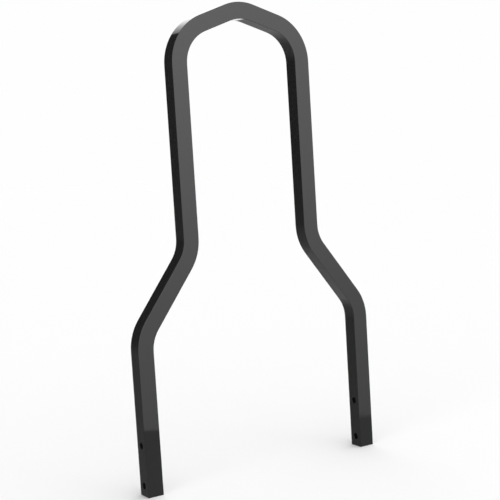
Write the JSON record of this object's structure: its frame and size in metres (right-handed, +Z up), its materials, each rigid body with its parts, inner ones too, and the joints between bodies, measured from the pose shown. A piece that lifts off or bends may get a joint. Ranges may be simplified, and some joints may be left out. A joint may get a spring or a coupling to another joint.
{
  "type": "sissy bar",
  "caption": "Square steel bar bent into a tall narrow hoop with a peaked top, flaring to wider drilled feet that bolt to a motorbike's side plates behind the passenger.",
  "frame": {"origin": "midway between the two cut ends of the feet, on the bar's mid-plane", "axes": "+Z up along the uprights, X across the motorbike from foot to foot, Y through the bar's depth with the pictured face at -Y"},
  "size_m": [0.262, 0.0158, 0.454],
  "materials": {
    "black_coat": "gloss black powder coat over steel"
  },
  "bodies": {
    "root": {"sissy_bar": "black_coat"}
  },
  "joints": []
}
